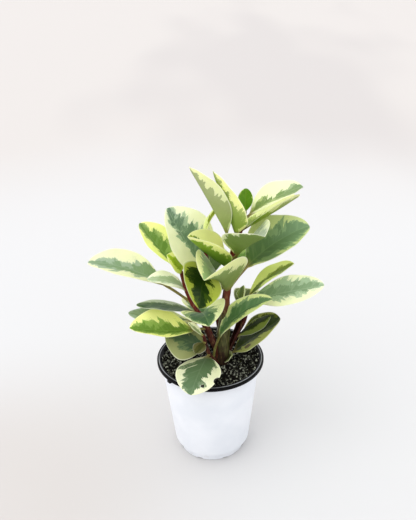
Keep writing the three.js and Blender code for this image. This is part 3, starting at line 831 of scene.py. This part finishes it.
# Pot
potPlan = {
    "height": 108, "rimRadius": 54, "rimDepth": 3.7, "rimInside": 50,
    "wallTop": 49.5, "wallFoot": 39, "foot": 34.3, "footHeight": 9,
    "wall": 1.1, "lining": 1.0, "gap": 0.3, "floor": 1.6, "recess": 0.8,
    "pad": 9, "ringInside": 26, "drain": 3.2, "drainCircle": 18, "drainCount": 6,
    "channelWidth": 6, "channelHeight": 1.4, "channelCount": 8,
    "tabTurn": 218, "tabWidth": 4.5, "tabHeight": 5, "tabRound": 0.3,
    "segments": 144, "cornerRound": 0.22, "smoothAngle": 32,
    "wallWhite": "#e2e5ea", "wallCloud": "#dadee4", "footDirt": "#b9b4aa", "dirtHeight": 14,
    "liningBlack": "#0b0b0c", "dust": "#4a463f",
    "highlightRadii": (51.5, 52.3),  # radii between which the rim's top gets a painted highlight, a thin paler grey line
    "highlightGrey": "#8d8f93",
}


# A profile of radius and height, turned round the pot's axis.
def spun(profile, steps):
    bm = bmesh.new()
    first = [bm.verts.new((radius * mm, 0, height * mm)) for radius, height in profile]
    for a, b in zip(first, first[1:]):
        bm.edges.new((a, b))
    bmesh.ops.spin(bm, geom=bm.verts[:] + bm.edges[:], axis=(0, 0, 1), cent=(0, 0, 0), angle=2 * math.pi,
                   steps=steps, use_merge=True, use_duplicate=False)
    bmesh.ops.remove_doubles(bm, verts=bm.verts, dist=1e-6)
    return bm


# A closed shell with softly rounded corners.
def spunShell(profile):
    bm = spun(profile, potPlan["segments"])
    bmesh.ops.dissolve_degenerate(bm, edges=bm.edges, dist=1e-7)
    bmesh.ops.recalc_face_normals(bm, faces=bm.faces)
    corners = [edge for edge in bm.edges if len(edge.link_faces) == 2 and edge.calc_face_angle(0) > 0.4
               and abs(edge.verts[0].co.z - edge.verts[1].co.z) < 1e-6]
    bmesh.ops.bevel(bm, geom=corners, offset=potPlan["cornerRound"] * mm, segments=3, profile=0.5,
                    affect="EDGES", material=-1, clamp_overlap=True)
    return bm


def smoothBelow(piece, degrees):
    bm = bmesh.new()
    bm.from_mesh(piece.data)
    smoothed(bm)
    for edge in bm.edges:
        edge.smooth = len(edge.link_faces) < 2 or edge.calc_face_angle(0) < math.radians(degrees)
    bm.to_mesh(piece.data)
    bm.free()


def addDrains(bm, bottom, top):
    radius, count, circle = potPlan["drain"] * mm, potPlan["drainCount"], potPlan["drainCircle"]
    for number in range(count):
        turn = 2 * math.pi * number / count
        middle = Vector((circle * math.cos(turn), circle * math.sin(turn), (bottom + top) / 2))
        bmesh.ops.create_cone(bm, cap_ends=True, segments=40, radius1=radius, radius2=radius,
                              depth=(top - bottom) * mm, matrix=Matrix.Translation(middle * mm))


def addChannels(bm):
    inside, count = potPlan["ringInside"], potPlan["channelCount"]
    length = potPlan["foot"] + 4 - inside
    size = Matrix.Diagonal((length * mm, potPlan["channelWidth"] * mm, 2 * potPlan["channelHeight"] * mm, 1))
    place = Matrix.Translation(((inside - 1 + length / 2) * mm, 0, 0))
    for number in range(count):
        turn = Matrix.Rotation(2 * math.pi * (number + 0.5) / count, 4, "Z")
        bmesh.ops.create_cube(bm, size=1, matrix=turn @ place @ size)


def liningRadius(height):
    low, high = potPlan["footHeight"] + 2.9, potPlan["height"] - 4.5
    inset = potPlan["wall"] + potPlan["gap"] + potPlan["lining"]
    return mixed(potPlan["wallFoot"] - inset, potPlan["wallTop"] - inset, (height - low) / (high - low))


# Matte white polypropylene, injection moulded: an even skin with a very fine spark-eroded grain.
def wallMaterial():
    material = newMaterial("matteWhitePolypropylene")
    place = objectPlace()
    grain = noiseOf(place, 2200, 2)
    cloud = noiseOf(place, 28, 3)
    colour = blended(ramped(cloud, 0.35, 0.7), potPlan["wallWhite"], potPlan["wallCloud"])
    scuff = noiseOf(place, 260, 4, 0.7)
    low = ramped(partsOf(place)[2], 0, potPlan["dirtHeight"] * mm, 1, 0)
    dirt = times(times(low, ramped(scuff, 0.5, 0.7)), 0.35)
    colour = blended(dirt, colour, potPlan["footDirt"])
    relief = plus(grain, times(cloud, 2))
    return finished(material, principled({
        "Base Color": colour, "Roughness": ramped(cloud, 0.3, 0.7, 0.46, 0.56), "IOR": 1.49,
        "Normal": bumped(0.12, 0.0002, relief)}))


# Black polypropylene with a soft sheen, dulled by dust and dried splashes inside the pot, with a painted
# highlight as a thin grey line round the top of the rim.
def liningMaterial():
    material = newMaterial("blackPolypropylene")
    place = objectPlace()
    dust = noiseOf(place, 420, 4, 0.7)
    cloud = noiseOf(place, 60, 2)
    dusty = times(ramped(dust, 0.55, 0.78), ramped(cloud, 0.4, 0.65))
    colour = blended(times(dusty, 0.35), potPlan["liningBlack"], potPlan["dust"])
    x, y, z = partsOf(place)
    across = calc("SQRT", plus(calc("POWER", x, 2), calc("POWER", y, 2)))
    # The painted highlight: a thin grey ring on the rim's top, broken up by the cloud pattern.
    (inner, outer), top = potPlan["highlightRadii"], potPlan["height"]
    paintedHighlight = times(ramped(across, (inner - 0.3) * mm, inner * mm),
                ramped(across, outer * mm, (outer + 0.2) * mm, 1, 0))
    paintedHighlight = times(paintedHighlight, ramped(z, (top - 1.1) * mm, (top - 0.7) * mm))
    paintedHighlight = times(paintedHighlight, ramped(cloud, 0.3, 0.6, 0.55, 1))
    colour = blended(paintedHighlight, colour, potPlan["highlightGrey"])
    return finished(material, principled({
        "Base Color": colour, "Roughness": ramped(dust, 0.3, 0.8, 0.3, 0.5), "IOR": 1.49,
        "Specular IOR Level": 0.05, "Normal": bumped(0.15, 0.0002, dust)}))


def makeWall():
    p = potPlan
    foot, wallFoot, wall, step = p["foot"], p["wallFoot"], p["wall"], p["footHeight"]
    top = p["height"] - p["rimDepth"] - p["gap"]
    bm = spunShell([
        (0, 0), (p["pad"], 0), (p["pad"] + 1, p["recess"]), (p["ringInside"], p["recess"]),
        (p["ringInside"] + 1, 0), (foot - 0.6, 0), (foot, 0.6), (foot + 0.3, step),
        (wallFoot - 1, step + 0.4), (wallFoot, step + 1.6), (p["wallTop"], top), (p["wallTop"] - wall, top),
        (wallFoot - wall, step + 2.2), (foot - wall, step + 1.4), (foot - wall - 0.2, p["floor"]),
        (0, p["floor"]),
    ])
    piece = addPiece("wall_skin", bm, wallMaterial(), "pot_wall", "pot_wall")
    cutters = bmesh.new()
    addDrains(cutters, -1, p["floor"] + 1)
    addChannels(cutters)
    carve(piece, cutters)
    smoothBelow(piece, p["smoothAngle"])


def makeLining():
    p, skin, step = potPlan, potPlan["lining"], potPlan["footHeight"]
    bottom = p["floor"] + p["gap"]
    shoulder = p["foot"] - p["wall"] - p["gap"]
    under = p["height"] - p["rimDepth"]
    rim, inside, top = p["rimRadius"], p["rimInside"], p["height"]
    bm = spunShell([
        (0, bottom), (shoulder - 0.3, bottom), (shoulder - 0.1, step + 1.7),
        (liningRadius(step + 2.5) + skin, step + 2.5), (liningRadius(under) + skin, under),
        (rim - 0.3, under), (rim, under + 0.4), (rim, top - 0.9), (rim - 0.8, top), (rim - 2.4, top - 0.5),
        (inside + 0.9, top - 0.1), (inside, top - 0.9), (liningRadius(top - 4.5) + 0.4, top - 3),
        (liningRadius(top - 6), top - 6), (liningRadius(step + 3.3), step + 3.3),
        (shoulder - skin, step + 2.4), (shoulder - skin - 0.3, bottom + skin), (0, bottom + skin),
    ])
    piece = addPiece("lining_skin", bm, liningMaterial(), "pot_lining", "pot_lining")
    cutters = bmesh.new()
    addDrains(cutters, bottom - 1, bottom + skin + 1)
    carve(piece, cutters)
    addTab(piece)
    smoothBelow(piece, p["smoothAngle"])


# The tab reaches into the rim, so it is added once the drains are cut.
def addTab(piece):
    p = potPlan
    tabInside = p["wallTop"] + 0.4
    depth = p["rimRadius"] - 1.2 - tabInside
    size = Matrix.Diagonal((depth * mm, p["tabWidth"] * mm, p["tabHeight"] * mm, 1))
    middle = p["height"] - p["rimDepth"] + 0.6 - p["tabHeight"] / 2
    spot = Matrix.Translation(Vector((tabInside + depth / 2, 0, middle)) * mm)
    turn = Matrix.Rotation(math.radians(p["tabTurn"]), 4, "Z")
    bm = bmesh.new()
    bm.from_mesh(piece.data)
    tab = bmesh.ops.create_cube(bm, size=1, matrix=turn @ spot @ size)["verts"]
    edges = list(dict.fromkeys(edge for vertex in tab for edge in vertex.link_edges))
    bmesh.ops.bevel(bm, geom=edges, offset=p["tabRound"] * mm, segments=2, profile=0.5, affect="EDGES",
                    material=-1)
    bm.to_mesh(piece.data)
    bm.free()


makeWall()
makeLining()
print("the pot is made")

# Potting mix
soilPlan = {
    "level": 104, "mound": 1.6, "rings": 46, "segments": 150,
    "crumbs": 1500, "crumbSize": (0.7, 1.7), "grit": 1900, "gritSize": (0.45, 1.5),
    "peat": "#090806", "peatLight": "#1a1611", "crumb": "#070605", "bark": "#241f18",
    "gritDark": "#1a1a16", "gritPale": "#c2c5b2",
}


def soilHeight(x, y):
    mound = soilPlan["mound"] * (1 - math.hypot(x, y) / 47)
    coarse = 0.7 * math.sin(0.23 * x + 1.1) * math.cos(0.19 * y - 0.4)
    heaped = 0.6 * max(math.hypot(x, y) - 45, 0)  # the mix is pushed up against the pot's side
    return soilPlan["level"] + mound + coarse + heaped + 0.5 * math.sin(0.51 * x - 0.33 * y)


# Damp peat and fine bark: dark, matt and crumbly, a little paler where the crumbs dry out. The grit is
# the same with a finer pattern, so that each grain takes its own grey.
def peatMaterial(name, dark, light, wet, patchScale=160.0):
    material = newMaterial(name)
    place = objectPlace()
    crumb = noiseOf(place, 900, 5, 0.75)
    patch = noiseOf(place, patchScale, 3)
    light = blended(ramped(patch, 0.4, 0.65), dark, light)
    colour = blended(ramped(crumb, 0.36, 0.6), dark, light)
    return finished(material, principled({
        "Base Color": colour, "Roughness": ramped(patch, 0.3, 0.7, wet, 0.95), "IOR": 1.5,
        "Specular IOR Level": 0.05, "Normal": bumped(0.9, 0.0008, crumb)}))


# The filling: a lathe-turned plug whose top is crumbled.
def makeSoil():
    gap, step, level = potPlan["gap"], potPlan["footHeight"], soilPlan["level"]
    floor = potPlan["floor"] + potPlan["lining"] + 2 * gap
    foot = potPlan["foot"] - potPlan["wall"] - potPlan["lining"] - 2 * gap
    edge, count = liningRadius(level) - gap - 0.4, soilPlan["rings"]
    profile = [(0, floor), (foot - 0.4, floor), (foot - 0.2, step + 2.9),
               (liningRadius(step + 3.9) - gap, step + 3.9), (liningRadius(level - 3) - gap, level - 3)]
    profile += [(edge * (count - i) / count, level) for i in range(count + 1)]
    bm = spun(profile, soilPlan["segments"])
    bmesh.ops.recalc_face_normals(bm, faces=bm.faces)
    for vertex in bm.verts:
        if vertex.co.z > (level - 1) * mm:
            x, y = vertex.co.x / mm, vertex.co.y / mm
            fine = noise.noise(Vector((x * 1.9, y * 1.9, 4)))
            crumbs = noise.noise(Vector((x * 0.75, y * 0.75, 0.3))) + 0.6 * fine
            vertex.co.z = (soilHeight(x, y) + 0.55 * crumbs) * mm
    smoothed(bm)
    material = peatMaterial("dampPeat", soilPlan["peat"], soilPlan["peatLight"], 0.6)
    addPiece("peat_fill", bm, material, "soil", "soil")


# Scatters grains over the soil, each a squashed and turned ball of a few faces, clear of the trunk.
def scatterGrains(name, count, sizes, detail, sunk, flatness, seed, material):
    chance = random.Random(seed)
    whole, bm = bmesh.new(), bmesh.new()
    edge = potPlan["rimInside"] - 1
    trunk, _ = stemSpot("main", 0.1)
    made = 0
    while made < count:
        turn, radius = chance.uniform(0, 2 * math.pi), edge * math.sqrt(chance.random())
        x, y = radius * math.cos(turn), radius * math.sin(turn)
        size = mixed(sizes[0], sizes[1], chance.random() ** 2)
        if math.hypot(x - trunk.x, y - trunk.y) < stems["main"][1][1] + size:
            continue
        grain = bmesh.ops.create_icosphere(bm, subdivisions=detail, radius=size * mm)["verts"]
        for vertex in grain:
            vertex.co *= 1 + 0.35 * noise.noise(vertex.co * 900 + Vector((made, 0, 0)))
        tilt = Euler([chance.uniform(0, math.pi) for _ in range(3)]).to_matrix().to_4x4()
        shape = Matrix.Diagonal((1, chance.uniform(0.6, 1), flatness, 1))
        place = Matrix.Translation(Vector((x, y, soilHeight(x, y) + size * sunk)) * mm)
        bmesh.ops.transform(bm, matrix=place @ tilt @ shape, verts=grain)
        made += 1
        if made % 100 == 0 or made == count:  # small heaps are added to the whole, which is quicker
            heap = bpy.data.meshes.new("heap")
            bm.to_mesh(heap)
            whole.from_mesh(heap)
            bm.clear()
            bpy.data.meshes.remove(heap)
    bm.free()
    addPiece(name, whole, material, "soil")


makeSoil()
scatterGrains("peat_crumbs", soilPlan["crumbs"], soilPlan["crumbSize"], 1, 0.1, 0.75, 5,
              peatMaterial("peatCrumbs", soilPlan["crumb"], soilPlan["bark"], 0.45))
scatterGrains("grit_grains", soilPlan["grit"], soilPlan["gritSize"], 1, 0.8, 0.8, 9,
              peatMaterial("pumiceGrit", soilPlan["gritDark"], soilPlan["gritPale"], 0.7, 420.0))
print("the potting mix is filled in")

scene.view_settings.view_transform = "Standard"
